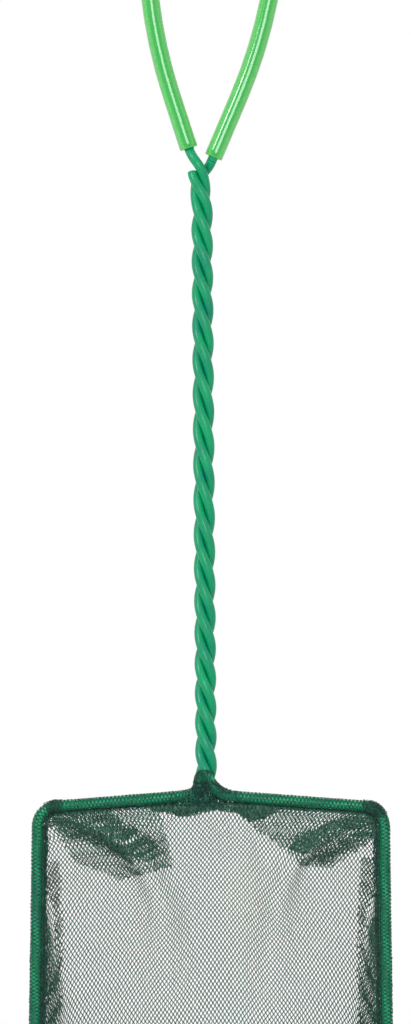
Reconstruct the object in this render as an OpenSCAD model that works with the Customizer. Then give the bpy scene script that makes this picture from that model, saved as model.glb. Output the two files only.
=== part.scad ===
// Aquarium fish net. One coated steel wire is bent into a rectangular hoop, twisted three
// strands thick into a handle and bent into a hanging loop with a soft sleeve over it.
// A knitted bag in two panels hangs from the hoop. Millimetres, +Z up, mouth towards -Y.
// The origin is where a hook under the top of the hanging loop carries the net.

/* [Wire] */
// Outside diameter of the coated wire
wire_d = 3.3; // [2.6:0.1:4]
// Diameter of the steel core
core_d = 2.2; // [1.4:0.1:2.4]

/* [Hanging loop] */
// Width of the loop, between the centrelines of its wire
loop_w = 44; // [38:1:60]
// Bend radius of the loop's long sides
loop_side_r = 168; // [120:1:220]
// Angle of a straight leg to the loop's axis
loop_leg_angle = 20.5; // [16:0.5:24]
// How far the loop leans sideways, in degrees
loop_lean = 2.5; // [0:0.1:5]

/* [Loop sleeve] */
// Outside diameter of the sleeve
sleeve_od = 6.2; // [5.4:0.1:8]
// Inside diameter of the sleeve
sleeve_id = 4.2; // [4.1:0.1:4.8]
// Bare wire between the left leg's strand and the sleeve
sleeve_bare_left = 0.3; // [0.1:0.1:6]
// Bare wire between the right leg's strand and the sleeve
sleeve_bare_right = 1.2; // [0.1:0.1:6]

/* [Handle] */
// Length of the twisted handle
handle_len = 203.5; // [160:0.5:280]
// Turns of the twist
handle_turns = 6.29; // [4:0.01:7]
// How far the handle's foot stands to the right of its head
handle_shift = 1.5; // [0:0.1:4]
// How far the twist kicks to the left at its head
head_kick = 1.2; // [0:0.1:2]

/* [Hoop] */
// Outside width across the top corners
hoop_w = 119.5; // [90:0.5:160]
// Outside height at the corners
hoop_h = 100; // [70:1:130]
// Bend radius of the corners, to the wire's centreline
hoop_corner_r = 6.8; // [5:0.1:12]
// How far the top bars drop from the neck to the corners
bar_drop = 3.7; // [1:0.1:8]
// How far each side leans outwards, in degrees
hoop_splay = 0.75; // [0:0.05:3]
// How far the hoop's middle stands to the right of the neck
hoop_shift = 1.6; // [0:0.1:4]
// Reach of each bend between handle and top bar
neck_reach = 9.7; // [8:0.1:14]
// Drop of each bend between handle and top bar
neck_drop = 5.7; // [5:0.1:9]

/* [Net bag] */
// Depth of the bag behind the hoop
bag_depth = 62; // [45:1:100]
// How far the bag's belly hangs below the bottom bar
bag_droop = 28; // [18:1:40]
// How far the bag's toe lies below the middle of the mouth
toe_drop = 56; // [40:1:65]
// Thickness of the knitted cloth
net_t = 0.6; // [0.4:0.05:1]
// Openings up each side of a panel; they stand coarsely for the knitted holes
side_openings = 3; // [2:1:3]
// Openings along the top or bottom of a panel
top_openings = 6; // [4:1:6]
// Openings from the mouth to the toe
deep_openings = 6; // [4:1:6]
// Thickness of the hem round the wire
hem_t = 0.4; // [0.3:0.05:0.8]
// Thickness of the seam that joins the two panels
seam_d = 1.2; // [0.8:0.1:2]

/* [Hidden] */

// Clearances: core in coating, strand to strand, cloth to what carries it
core_gap = 0.04;
strand_gap = 0.08;
cloth_gap = 0.25;
// Straights shorter than this are left out between two bends
shortest_run = 0.001;

// Colours, as shares of full light
wire_green = [0.03, 0.58, 0.34];
sleeve_green = [0.25, 0.73, 0.32];
net_green = [0.16, 0.38, 0.30];
thread_green = [0.07, 0.25, 0.20];
steel_grey = [0.62, 0.64, 0.66];

// The twist is tighter at its ends, and a little tighter at the foot than at the head
twist_ease_share = 0.09;
twist_foot_share = 0.055;
// Place of the tail strand at the head, and of the two legs' strands after it, in degrees
tail_phase = -162.7;
left_leg_phase = tail_phase + 120;
right_leg_phase = tail_phase - 120;

// Legs at the head: where each leaves the twist, how far up its straight it arrives,
// the lengths of its two curve handles, and how far it passes in front (-) or behind (+)
left_leave = 1.5;
left_arrive = 13.1;
left_handles = [5, 4.5];
left_pass = -2.6;
right_leave = 4.5;
right_arrive = 9.4;
right_handles = [5, 6];
right_pass = 3.4;
head_above_apex = 4.5;
head_kick_len = 11;

// Curve handles of the bends at the neck, as shares of their reach
neck_handle_share = 0.5;

// Rings in a turn of the twist and in a free curve, largest angle and length between rings
// in a bend, and sides of a frame tube, a strand and the seam
turn_rings = 8;
curve_rings = 6;
bend_step = 15;
bend_run = 12;
frame_sides = 10;
strand_sides = 8;
seam_sides = 6;
$fn = 48;

// Plane vectors are [x, z] in the plane of the frame
function turned(p, a) = [p[0] * cos(a) + p[1] * sin(a), p[1] * cos(a) - p[0] * sin(a)];
function unit(v) = v / norm(v);
function mix(a, b, w) = a * (1 - w) + b * w;
function ease(t) = let (c = max(0, min(1, t))) c * c * (3 - 2 * c);
function in_space(p) = [p[0], 0, p[1]];

// The hanging loop: a half round top, two long side bends and two straight legs
loop_r = loop_w / 2;
loop_top = [0, sleeve_od / 2];
side_vertex = loop_r + loop_side_r * tan(loop_leg_angle / 2);
apex_depth = side_vertex + loop_r / tan(loop_leg_angle);
function loop_place(p) = loop_top + turned(p, loop_lean);
apex = loop_place([0, -apex_depth]);
function leg_dir(side) = turned([side * sin(loop_leg_angle), cos(loop_leg_angle)], loop_lean);
left_leg_end = apex + left_arrive * leg_dir(-1);
right_leg_end = apex + right_arrive * leg_dir(1);
loop_bends = [0, loop_side_r, loop_r, loop_r, loop_side_r, 0];
function loop_route(left_end, right_end) = [
    left_end,
    loop_place([-loop_r, -side_vertex]),
    loop_place([-loop_r, 0]),
    loop_place([loop_r, 0]),
    loop_place([loop_r, -side_vertex]),
    right_end
];

// The twisted handle, from its head (0) to its foot (1)
head_z = apex[1] + head_above_apex;
head_x = loop_top[0] - (loop_top[1] - head_z) * tan(loop_lean);
foot_x = head_x + handle_shift;
foot_z = head_z - handle_len;
steepest = handle_turns * (1 + twist_ease_share + twist_foot_share) / handle_len;
lay_angle = atan(2 * PI * wire_d / sqrt(3) * steepest);
lay_r = (wire_d + strand_gap) / 2 * sqrt(1 + pow(tan(30) / cos(lay_angle), 2));
function twist(u) = 360 * handle_turns
    * (u + twist_ease_share * sin(360 * u) / (2 * PI) + twist_foot_share * (u * u - u));
function axis_x(u) = head_x + handle_shift * u
    - head_kick * ease(1 - u * handle_len / head_kick_len);
function strand(u, phase) = [
    axis_x(u) + lay_r * cos(phase + twist(u)),
    lay_r * sin(phase + twist(u)),
    head_z - handle_len * u
];
tiny_share = 0.0005;
function strand_dir(u, phase) = unit(strand(u + tiny_share, phase) - strand(u, phase));

// A cubic curve between two ends, with a direction and a handle length at each
function curve_point(p, t) = pow(1 - t, 3) * p[0] + 3 * t * pow(1 - t, 2) * p[1]
    + 3 * t * t * (1 - t) * p[2] + pow(t, 3) * p[3];
function curve(p, n, from = 0, to = 1) = [for (i = [0:n]) curve_point(p, mix(from, to, i / n))];
function tail_of(list, first = 1) = [for (i = [first:len(list) - 1]) list[i]];

// Routes of the three strands, from the top down
function leg_curve(leave, phase, end, side, handles, pass) = let (
    u = leave / handle_len,
    start = strand(u, phase)
) [
    in_space(end),
    in_space(end - handles[1] * leg_dir(side)) + [0, pass, 0],
    start - handles[0] * strand_dir(u, phase),
    start
];
function twist_route(phase, from) = let (
    n = round(handle_turns * turn_rings)
) [for (i = [0:n]) strand(mix(from, 1, i / n), phase)];
function neck_curve(phase, side) = let (
    start = strand(1, phase),
    end = in_space(bar_start(side)),
    out = in_space(bar_dir(side))
) [
    start,
    start + neck_reach * neck_handle_share * strand_dir(1 - tiny_share, phase),
    end - neck_reach * neck_handle_share * out,
    end
];

// The hoop, round from the right end of the neck to the left
bar_z = foot_z - neck_drop;
hoop_x = foot_x + hoop_shift;
corner_z = bar_z - bar_drop;
corner_x = (hoop_w - wire_d) / 2;
side_len = hoop_h - wire_d;
splay_x = side_len * tan(hoop_splay);
function bar_start(side) = [foot_x + side * neck_reach, bar_z];
function top_corner(side) = [hoop_x + side * corner_x, corner_z];
function low_corner(side) = [hoop_x + side * (corner_x + splay_x), corner_z - side_len];
function bar_dir(side) = unit(top_corner(side) - bar_start(side));
hoop_route = [
    bar_start(1), top_corner(1), low_corner(1),
    low_corner(-1), top_corner(-1), bar_start(-1)
];
hoop_bends = [0, hoop_corner_r, hoop_corner_r, hoop_corner_r, hoop_corner_r, 0];

// Straight runs and bends of a route in the plane of the frame
function heading(route, k) = unit(route[k + 1] - route[k]);
function crossed(a, b) = a[0] * b[1] - a[1] * b[0];
function bend_angle(route, k) = acos(heading(route, k - 1) * heading(route, k));
function bend_reach(route, bends, k) =
    bends[k] == 0 ? 0 : bends[k] * tan(bend_angle(route, k) / 2);
function run_start(route, bends, k) =
    route[k] + bend_reach(route, bends, k) * heading(route, k);
function run_end(route, bends, k) =
    route[k + 1] - bend_reach(route, bends, k + 1) * heading(route, k);
function bend_points(route, bends, k) = let (
    from = run_end(route, bends, k - 1),
    h = heading(route, k - 1),
    side = sign(crossed(h, heading(route, k))),
    centre = from + side * bends[k] * [-h[1], h[0]],
    angle = bend_angle(route, k),
    steps = ceil(max(angle / bend_step, bends[k] * angle * PI / 180 / bend_run))
) [for (i = [0:steps]) in_space(centre + turned(from - centre, -side * angle * i / steps))];

// The whole centreline, with a double point left out where two bends meet
function bent_points(route, bends) = let (
    last = len(route) - 1,
    all = concat(
        [in_space(route[0])],
        [for (k = [1:last - 1]) each bend_points(route, bends, k)],
        [in_space(route[last])]
    )
) [
    for (i = [0:len(all) - 1])
        if (i == 0 || norm(all[i] - all[max(0, i - 1)]) > shortest_run) all[i]
];

// A swept tube along points in space; up is any direction that the route never follows
function route_dir(p, i) = let (
    last = len(p) - 1,
    before = unit(p[max(i, 1)] - p[max(i, 1) - 1]),
    after = unit(p[min(i, last - 1) + 1] - p[min(i, last - 1)])
) unit(before + after);
function swept_points(p, d, sides, up) = [
    for (i = [0:len(p) - 1]) let (
        t = route_dir(p, i),
        a = unit(cross(t, up)),
        b = cross(t, a)
    ) for (j = [0:sides - 1]) let (w = 360 * j / sides)
        p[i] + d / 2 * (cos(w) * a + sin(w) * b)
];
function wall_faces(rings, sides, first) = [
    for (i = [0:rings - 2]) for (j = [0:sides - 1]) let (
        a = first + i * sides + j,
        b = first + i * sides + (j + 1) % sides
    ) each [[a, a + sides, b], [b, a + sides, b + sides]]
];
function flipped(faces) = [for (f = faces) [f[0], f[2], f[1]]];
function cap_faces(sides, first) = [for (j = [1:sides - 2]) [first, first + j, first + j + 1]];
function rim_faces(sides, outer, inner) = [
    for (j = [0:sides - 1]) let (k = (j + 1) % sides)
        each [[outer + j, outer + k, inner + k], [outer + j, inner + k, inner + j]]
];
module rod(p, d, sides, up = [0, 1, 0]) {
    last = (len(p) - 1) * sides;
    polyhedron(swept_points(p, d, sides, up), concat(
        wall_faces(len(p), sides, 0),
        cap_faces(sides, 0),
        flipped(cap_faces(sides, last))
    ));
}
module tube(p, od, id, sides) {
    up = [0, 1, 0];
    inner = len(p) * sides;
    last = inner - sides;
    polyhedron(concat(swept_points(p, od, sides, up), swept_points(p, id, sides, up)), concat(
        wall_faces(len(p), sides, 0),
        flipped(wall_faces(len(p), sides, inner)),
        rim_faces(sides, 0, inner),
        flipped(rim_faces(sides, last, inner + last))
    ));
}

module ring_face(od, id) {
    difference() {
        circle(d = od);
        circle(d = id);
    }
}

left_leg_route = concat(
    curve(
        leg_curve(left_leave, left_leg_phase, left_leg_end, -1, left_handles, left_pass),
        curve_rings
    ),
    tail_of(twist_route(left_leg_phase, left_leave / handle_len))
);
right_leg_route = concat(
    curve(
        leg_curve(right_leave, right_leg_phase, right_leg_end, 1, right_handles, right_pass),
        curve_rings
    ),
    tail_of(twist_route(right_leg_phase, right_leave / handle_len)),
    tail_of(curve(neck_curve(right_leg_phase, -1), curve_rings))
);
tail_route = concat(
    twist_route(tail_phase, 0),
    tail_of(curve(neck_curve(tail_phase, 1), curve_rings))
);

loop_points = bent_points(loop_route(left_leg_end, right_leg_end), loop_bends);
hoop_points = bent_points(hoop_route, hoop_bends);
core_bore = core_d + 2 * core_gap;

module loop_wire_coat() {
    color(wire_green) tube(loop_points, wire_d, core_bore, frame_sides);
}

module loop_wire_core() {
    color(steel_grey) rod(loop_points, core_d, frame_sides);
}

module loop_sleeve() {
    left_end = left_leg_end + sleeve_bare_left * leg_dir(-1);
    right_end = right_leg_end + sleeve_bare_right * leg_dir(1);
    points = bent_points(loop_route(left_end, right_end), loop_bends);
    color(sleeve_green) tube(points, sleeve_od, sleeve_id, frame_sides);
}

module strand_coat(route) {
    color(wire_green) tube(route, wire_d, core_bore, strand_sides);
}

module strand_core(route) {
    color(steel_grey) rod(route, core_d, strand_sides);
}

module handle_strand_left_leg() {
    strand_coat(left_leg_route);
}

module handle_strand_right_leg() {
    strand_coat(right_leg_route);
}

module handle_strand_tail() {
    strand_coat(tail_route);
}

module handle_core_left_leg() {
    strand_core(left_leg_route);
}

module handle_core_right_leg() {
    strand_core(right_leg_route);
}

module handle_core_tail() {
    strand_core(tail_route);
}

module hoop_wire_coat() {
    color(wire_green) tube(hoop_points, wire_d, core_bore, frame_sides);
}

module hoop_wire_core() {
    color(steel_grey) rod(hoop_points, core_d, frame_sides);
}

// The hem is the bag's edge, folded round the wire
hem_id = wire_d + 2 * core_gap;
hem_od = hem_id + 2 * hem_t;

module hoop_hem() {
    color(net_green) tube(hoop_points, hem_od, hem_id, frame_sides);
}

// The hem's ends climb the two bends as far as the handle's foot leaves room
neck_hem_share = 0.45;
module neck_hem(phase, side) {
    points = curve(neck_curve(phase, side), curve_rings, neck_hem_share, 1);
    color(net_green) tube(points, hem_od, hem_id + 2 * core_gap, strand_sides);
}

module neck_hem_left() {
    neck_hem(right_leg_phase, -1);
}

module neck_hem_right() {
    neck_hem(tail_phase, 1);
}

// The collar is gathered cloth round the handle's foot, drawn in by three turns of thread
collar_h = 3.4;
collar_id = 2 * lay_r + wire_d + 2 * cloth_gap;
collar_od = collar_id + 2 * hem_t;
collar_thread_d = 0.4;
collar_turns = 3;

module neck_collar() {
    color(net_green) translate([foot_x, 0, foot_z]) linear_extrude(collar_h)
        ring_face(collar_od, collar_id);
}

module neck_thread() {
    color(thread_green) for (i = [1:collar_turns])
        translate([foot_x, 0, foot_z + collar_h * i / (collar_turns + 1)]) rotate_extrude()
            translate([(collar_od + collar_thread_d) / 2, 0]) circle(d = collar_thread_d);
}

// The mouth of the bag lies just inside the hem
mouth_inset = hem_od / 2 + cloth_gap;
mouth_half_w = corner_x - mouth_inset;
mouth_half_h = side_len / 2 - mouth_inset;
mouth_z = corner_z - side_len / 2;
mouth_corner = hoop_corner_r - mouth_inset;

// Where openings begin and end between two places; strips of cloth stay between them
strip_share = 0.2;
function opening_edges(from, to, count) = [
    for (k = [0:count - 1]) for (e = [strip_share / 2, 1 - strip_share / 2])
        mix(from, to, (k + e) / count)
];

// Half the mouth's outline, in units of its half width and half height, from the left
// seam over the top to the right seam
corner_steps = 3;
corner_u = mouth_corner / mouth_half_w;
corner_v = mouth_corner / mouth_half_h;
half_outline = concat(
    [[-1, 0]],
    opening_edges([-1, 0], [-1, 1 - corner_v], side_openings),
    [for (i = [0:corner_steps]) let (w = 180 - 90 * i / corner_steps)
        [corner_u - 1 + corner_u * cos(w), 1 - corner_v + corner_v * sin(w)]],
    opening_edges([corner_u - 1, 1], [1 - corner_u, 1], top_openings),
    [for (i = [0:corner_steps]) let (w = 90 - 90 * i / corner_steps)
        [1 - corner_u + corner_u * cos(w), 1 - corner_v + corner_v * sin(w)]],
    opening_edges([1, 1 - corner_v], [1, 0], side_openings),
    [[1, 0]]
);
outline_last = len(half_outline) - 1;

// A cell of a panel is open where both its numbers are odd, but not beside a corner's arc
deep_lines = concat([0], opening_edges(0, 1, deep_openings), [1]);
deep_last = len(deep_lines) - 1;
left_arc = 2 * side_openings + 1;
right_arc = left_arc + corner_steps + 1 + 2 * top_openings;
function beside_arc(i, arc) = i < arc || i > arc + corner_steps;
function is_open(i, j) = i % 2 == 1 && j % 2 == 1 && beside_arc(i, left_arc)
    && beside_arc(i, right_arc);

// Side view of the bag: its upper and lower lines, [y, z] from the middle of the mouth,
// as cubic curves that meet at the toe
toe = [bag_depth, -toe_drop];
upper_shares = [0.25, 0.98];
lower_shares = [0.4, 0.8];
roof_drop_share = 0.5;
floor_slope_share = 0.3;
first_sag = bag_depth * lower_shares[0] * floor_slope_share;
second_sag = (mouth_half_h - 3 * first_sag - toe_drop + 8 * bag_droop) / 3;
upper_line = [
    [0, mouth_half_h],
    [bag_depth * upper_shares[0], mouth_half_h * (1 - roof_drop_share)],
    [bag_depth * upper_shares[1], 0],
    toe
];
lower_line = [
    [0, -mouth_half_h],
    [bag_depth * lower_shares[0], -mouth_half_h - first_sag],
    [bag_depth * lower_shares[1], -mouth_half_h - second_sag],
    toe
];
// The bag narrows evenly, and its toe's corners are rounded
taper_share = 0.08;
toe_round_share = 0.32;
toe_round_power = 5;

// A point of the bag's outer face: place along the outline, up (1) or down (-1), and depth
function bag_point(i, up, v) = let (
    o = half_outline[i],
    w = atan2(o[1], o[0]),
    round_share = ease(v),
    across = mix(o[0], cos(w), round_share),
    high = up * mix(o[1], sin(w), round_share),
    half_w = mouth_half_w + splay_x * (1 - up * o[1]) / 2,
    narrow = 1 - taper_share * v - toe_round_share * pow(v, toe_round_power),
    rise = bar_drop * (1 + up * o[1]) / 2 * (1 - abs(o[0])) * pow(1 - v, 2),
    top = curve_point(upper_line, v),
    low = curve_point(lower_line, v),
    yz = (top + low) / 2 + high * (top - low) / 2
) [hoop_x + across * half_w * narrow, yz[0], mouth_z + yz[1] + rise];

// The outward direction there, from points a part of a step away; at the toe line both
// panels have the same one, which tilts down and turns sideways at the toe's corners
probe_share = 0.02;
toe_tilt_share = 0.2;
toe_turn_share = 0.9;
toe_out = unit([0, 1, -toe_tilt_share]);
function bag_out(i, up, v) = let (
    o = half_outline[i],
    w = atan2(o[1], o[0]),
    before = i == 0 ? bag_point(1, -up, v) : bag_point(i - 1, up, v),
    after = i == outline_last ? bag_point(i - 1, -up, v) : bag_point(i + 1, up, v),
    ahead = bag_point(i, up, min(1, v + probe_share)),
    deep = ahead - bag_point(i, up, max(0, v - probe_share))
) v > 1 - probe_share
    ? unit([cos(w) * abs(cos(w)), 0, 0] + toe_out * (1 - toe_turn_share * pow(cos(w), 2)))
    : up * unit(cross(after - before, deep));

function panel_grid(up, inside) = [
    for (v = deep_lines) for (i = [0:outline_last])
        bag_point(i, up, v) - inside * bag_out(i, up, v)
];

// Triangles of a thick sheet with openings: outer and inner face of each closed cell, and a
// wall under each edge; a is a cell's first corner, or an edge's, and back the inner face
function facing(t, flip) = flip ? [t[0], t[2], t[1]] : t;
function cell(a, n, back) = [
    [a, a + 1, a + n], [a + 1, a + n + 1, a + n],
    [back + a, back + a + n, back + a + 1], [back + a + 1, back + a + n, back + a + n + 1]
];
function near_wall(a, back) = [[a, back + a, a + 1], [a + 1, back + a, back + a + 1]];
function far_wall(a, back) = [[a, a + 1, back + a], [a + 1, back + a + 1, back + a]];
function left_wall(a, n, back) = [[a, a + n, back + a], [a + n, back + a + n, back + a]];
function right_wall(a, n, back) = [[a, back + a, a + n], [a + n, back + a, back + a + n]];
function opening_walls(a, n, back) = concat(
    far_wall(a, back), near_wall(a + n, back), right_wall(a, n, back), left_wall(a + 1, n, back)
);
function sheet_faces(wide, deep, flip) = let (
    n = wide + 1,
    back = n * (deep + 1),
    all = concat(
        [for (j = [0:deep - 1]) for (i = [0:wide - 1]) let (a = j * n + i)
            each is_open(i, j) ? opening_walls(a, n, back) : cell(a, n, back)],
        [for (i = [0:wide - 1]) each concat(near_wall(i, back), far_wall(deep * n + i, back))],
        [for (j = [0:deep - 1]) let (a = j * n)
            each concat(left_wall(a, n, back), right_wall(a + wide, n, back))]
    )
) [for (t = all) facing(t, flip)];

module panel(up) {
    color(net_green) polyhedron(
        concat(panel_grid(up, 0), panel_grid(up, net_t)),
        sheet_faces(outline_last, deep_last, up > 0)
    );
}

module bag_upper_panel() {
    panel(1);
}

module bag_lower_panel() {
    panel(-1);
}

// The seam runs back along one side, across the toe and forward along the other
seam_out = seam_d / 2 + cloth_gap / 2;
seam_first = 1;
seam_skip = 3;
function seam_point(i, v) = bag_point(i, 1, v) + seam_out * bag_out(i, 1, v);
seam_route = concat(
    [for (j = [seam_first:deep_last]) seam_point(0, deep_lines[j])],
    [for (i = [seam_skip:seam_skip:outline_last - seam_skip]) seam_point(i, 1)],
    [for (j = [deep_last:-1:seam_first]) seam_point(outline_last, deep_lines[j])]
);
module bag_seam() {
    color(net_green) rod(seam_route, seam_d, seam_sides, [0, 0, 1]);
}

// Running stitches that hold the hem, inside the mouth
stitch_len = 2.4;
stitch_pitch = 4;
stitch_d = 0.4;
stitch_back = 1.2;
stitch_inset = mouth_inset + net_t + stitch_d / 2 + cloth_gap;
module hem_stitches() {
    color(thread_green) for (k = [0:len(hoop_route) - 2]) {
        from = run_start(hoop_route, hoop_bends, k);
        to = run_end(hoop_route, hoop_bends, k);
        h = heading(hoop_route, k);
        inward = [h[1], -h[0]];
        run = norm(to - from);
        count = floor((run - stitch_len) / stitch_pitch);
        margin = (run - count * stitch_pitch) / 2;
        for (i = [0:count])
            translate(in_space(from + (margin + i * stitch_pitch) * h + stitch_inset * inward))
                translate([0, stitch_back, 0]) rotate([0, atan2(h[0], h[1]), 0])
                    cylinder(h = stitch_len, d = stitch_d, center = true);
    }
}

loop_wire_coat();
loop_wire_core();
loop_sleeve();
handle_strand_left_leg();
handle_strand_right_leg();
handle_strand_tail();
handle_core_left_leg();
handle_core_right_leg();
handle_core_tail();
hoop_wire_coat();
hoop_wire_core();
hoop_hem();
neck_hem_left();
neck_hem_right();
neck_collar();
neck_thread();
hem_stitches();
bag_upper_panel();
bag_lower_panel();
bag_seam();
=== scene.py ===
"""Looks of the aquarium fish net: coated wire, sleeve, knitted mesh bag, hem, seam and threads."""

import math

import bpy
import numpy as np
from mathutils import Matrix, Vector


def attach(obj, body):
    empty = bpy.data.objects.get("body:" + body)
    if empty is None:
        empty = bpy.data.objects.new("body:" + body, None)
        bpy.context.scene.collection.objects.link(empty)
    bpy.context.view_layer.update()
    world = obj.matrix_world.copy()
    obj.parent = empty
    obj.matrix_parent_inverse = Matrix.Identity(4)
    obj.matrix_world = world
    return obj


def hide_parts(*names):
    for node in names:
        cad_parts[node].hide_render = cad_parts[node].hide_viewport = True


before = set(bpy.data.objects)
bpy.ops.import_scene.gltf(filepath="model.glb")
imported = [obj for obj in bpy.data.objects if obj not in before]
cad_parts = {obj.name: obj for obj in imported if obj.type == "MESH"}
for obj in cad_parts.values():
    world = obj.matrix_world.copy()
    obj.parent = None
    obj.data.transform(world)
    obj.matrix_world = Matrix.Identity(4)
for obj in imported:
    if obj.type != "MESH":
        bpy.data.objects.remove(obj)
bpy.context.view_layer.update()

MM = 0.001

# sizes, as in the CAD source
WIRE_R = 1.65
CORE_R = 1.1
LOOP_R, LOOP_SIDE_R, LEG_ANGLE, LEAN = 22.0, 168.0, 20.5, 2.5
SLEEVE_R, SLEEVE_BORE_R = 3.1, 2.1
BARE_LEFT, BARE_RIGHT = 0.3, 1.2
HANDLE_LEN, TURNS, SHIFT, KICK, KICK_LEN = 203.5, 6.29, 1.5, 1.2, 11.0
EASE_SHARE, FOOT_SHARE = 0.09, 0.055
TAIL_PHASE = -162.7
LEFT_PHASE, RIGHT_PHASE = TAIL_PHASE + 120, TAIL_PHASE - 120
LEFT_LEAVE, LEFT_ARRIVE, LEFT_HANDLES, LEFT_PASS = 1.5, 13.1, (5, 4.5), -2.6
RIGHT_LEAVE, RIGHT_ARRIVE, RIGHT_HANDLES, RIGHT_PASS = 4.5, 9.4, (5, 6), 3.4
HEAD_ABOVE = 4.5
HOOP_W, HOOP_H, CORNER_R, BAR_DROP, SPLAY, HOOP_SHIFT = 119.5, 100.0, 6.8, 3.7, 0.75, 1.6
NECK_REACH, NECK_DROP, NECK_SHARE = 9.7, 5.7, 0.5
BAG_DEPTH, BAG_DROOP, TOE_DROP = 62.0, 28.0, 56.0
HEM_GAP, HEM_WALL, MOUTH_GAP = 0.04, 0.4, 0.25
HEM_R = WIRE_R + HEM_GAP + HEM_WALL
MOUTH_INSET = HEM_R + MOUTH_GAP
STRAND_GAP = 0.08

# steps for directions, for points that may fall together, and for lines with threads on them
DIR_STEP, LEAST_STEP, FINE_STEP = 0.0005, 0.05, 0.5


def rad(a):
    return a * math.pi / 180


def turned(p, a):
    c, s = math.cos(rad(a)), math.sin(rad(a))
    return np.array([p[0] * c + p[1] * s, p[1] * c - p[0] * s])


def unit(v):
    v = np.asarray(v, float)
    n = np.linalg.norm(v, axis=-1, keepdims=True)
    return v / np.maximum(n, 1e-9)


def ease(t):
    c = np.clip(t, 0, 1)
    return c * c * (3 - 2 * c)


def in_space(p):
    return np.array([p[0], 0.0, p[1]])


def bezier(p, t):
    t = np.asarray(t, float)[:, None]
    return (
        (1 - t) ** 3 * p[0] + 3 * t * (1 - t) ** 2 * p[1] + 3 * t * t * (1 - t) * p[2] + t**3 * p[3]
    )


def lengths_along(p):
    """How far each point of a line is from its start, along it."""
    return np.concatenate([[0], np.cumsum(np.linalg.norm(np.diff(p, axis=0), axis=1))])


def sampled(s, d, rows):
    """Rows that stand at the distances d, read off at the distances s."""
    return np.stack([np.interp(s, d, column) for column in rows.T], -1)


def inward_of(line):
    """Directions to the inside of the hoop, at the points of a line round it."""
    t = unit(np.gradient(line, axis=0))
    return np.stack([t[:, 2], t[:, 1] * 0, -t[:, 0]], -1)


# routes of the wire
LOOP_TOP = np.array([0, SLEEVE_R])
SIDE_VERTEX = LOOP_R + LOOP_SIDE_R * math.tan(rad(LEG_ANGLE / 2))
APEX_DEPTH = SIDE_VERTEX + LOOP_R / math.tan(rad(LEG_ANGLE))


def loop_place(p):
    return LOOP_TOP + turned(p, LEAN)


def leg_dir(side):
    return turned([side * math.sin(rad(LEG_ANGLE)), math.cos(rad(LEG_ANGLE))], LEAN)


APEX = loop_place([0, -APEX_DEPTH])
HEAD_Z = APEX[1] + HEAD_ABOVE
HEAD_X = -(LOOP_TOP[1] - HEAD_Z) * math.tan(rad(LEAN))
FOOT_X, FOOT_Z = HEAD_X + SHIFT, HEAD_Z - HANDLE_LEN
STEEPEST = TURNS * (1 + EASE_SHARE + FOOT_SHARE) / HANDLE_LEN
LAY_ANGLE = math.atan(2 * math.pi * 2 * WIRE_R / math.sqrt(3) * STEEPEST)
LAY_R = (WIRE_R + STRAND_GAP / 2) * math.sqrt(
    1 + (math.tan(rad(30)) / math.cos(LAY_ANGLE)) ** 2
)


def strand(u, phase):
    u = np.asarray(u, float)
    twist = (
        360 * TURNS * (u + EASE_SHARE * np.sin(2 * np.pi * u) / (2 * np.pi) + FOOT_SHARE * (u * u - u))
    )
    axis_x = HEAD_X + SHIFT * u - KICK * ease(1 - u * HANDLE_LEN / KICK_LEN)
    w = rad(phase + twist)
    return np.stack([axis_x + LAY_R * np.cos(w), LAY_R * np.sin(w), HEAD_Z - HANDLE_LEN * u], -1)


def strand_dir(u, phase):
    return unit(strand(u + DIR_STEP, phase) - strand(u, phase))


def bend_route(route, radii, step=3.0):
    """Centreline of straight runs and arcs in the plane of the frame, as (x, 0, z)."""
    route = [np.asarray(p, float) for p in route]
    out = [route[0]]
    for k in range(1, len(route) - 1):
        a, b = unit(route[k] - route[k - 1]), unit(route[k + 1] - route[k])
        angle = math.acos(float(np.clip(a @ b, -1, 1)))
        reach = radii[k] * math.tan(angle / 2)
        start = route[k] - reach * a
        side = math.copysign(1, a[0] * b[1] - a[1] * b[0])
        centre = start + side * radii[k] * np.array([-a[1], a[0]])
        steps = max(4, int(math.ceil(math.degrees(angle) / step)))
        for i in range(steps + 1):
            out.append(centre + turned(start - centre, -side * math.degrees(angle) * i / steps))
    out.append(route[-1])
    kept = [out[0]]
    for p in out[1:]:
        if np.linalg.norm(p - kept[-1]) > LEAST_STEP:
            kept.append(p)
    return np.array([in_space(p) for p in kept])


def spaced(p, step):
    """The same line with points at even distances."""
    d = lengths_along(p)
    return sampled(np.linspace(0, d[-1], max(2, int(round(d[-1] / step)) + 1)), d, p)


def loop_route(left_bare, right_bare):
    left = APEX + (LEFT_ARRIVE + left_bare) * leg_dir(-1)
    right = APEX + (RIGHT_ARRIVE + right_bare) * leg_dir(1)
    corners = [
        left,
        loop_place([-LOOP_R, -SIDE_VERTEX]),
        loop_place([-LOOP_R, 0]),
        loop_place([LOOP_R, 0]),
        loop_place([LOOP_R, -SIDE_VERTEX]),
        right,
    ]
    return bend_route(corners, [0, LOOP_SIDE_R, LOOP_R, LOOP_R, LOOP_SIDE_R, 0])


BAR_Z = FOOT_Z - NECK_DROP
HOOP_X = FOOT_X + HOOP_SHIFT
CORNER_Z = BAR_Z - BAR_DROP
CORNER_X = HOOP_W / 2 - WIRE_R
SIDE_LEN = HOOP_H - 2 * WIRE_R
SPLAY_X = SIDE_LEN * math.tan(rad(SPLAY))


def bar_start(side):
    return np.array([FOOT_X + side * NECK_REACH, BAR_Z])


def bar_dir(side):
    return unit(np.array([HOOP_X + side * CORNER_X, CORNER_Z]) - bar_start(side))


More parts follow.
